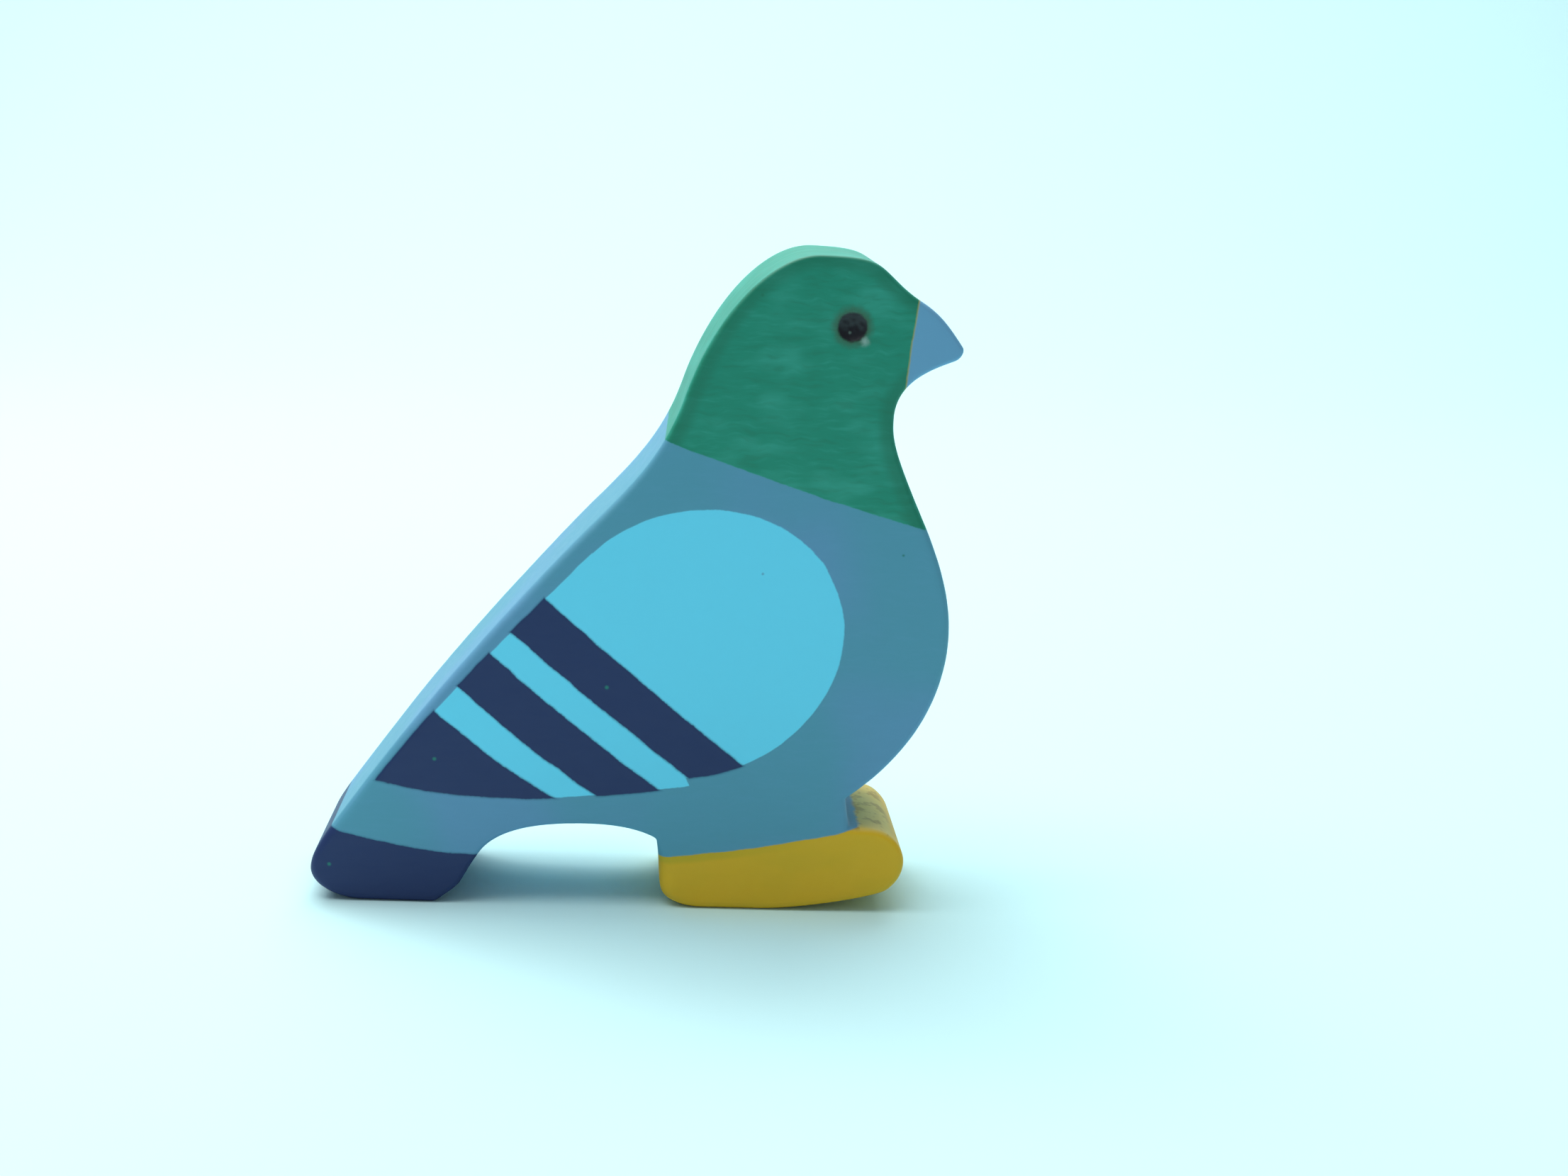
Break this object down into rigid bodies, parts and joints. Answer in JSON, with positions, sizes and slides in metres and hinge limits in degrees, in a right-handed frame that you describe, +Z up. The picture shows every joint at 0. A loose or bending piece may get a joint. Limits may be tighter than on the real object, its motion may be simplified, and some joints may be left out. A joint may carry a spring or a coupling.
{
  "type": "wooden dove figurine",
  "caption": "Flat painted wooden dove cut from one board, standing on its foot block and tail tip, with rounded edges and a burnt eye dimple on each side.",
  "frame": {"origin": "on the ground, under the middle of the bird's overall box", "axes": "+X the way the beak points, +Y from the pictured face to the other face through the board, +Z up"},
  "size_m": [0.071, 0.018, 0.0748],
  "materials": {
    "painted_wood": "thin hand-painted satin colour: grey-blue body, green head, pale blue wing with navy bars, yellow foot"
  },
  "bodies": {
    "root": {"dove_body": "painted_wood"}
  },
  "joints": []
}
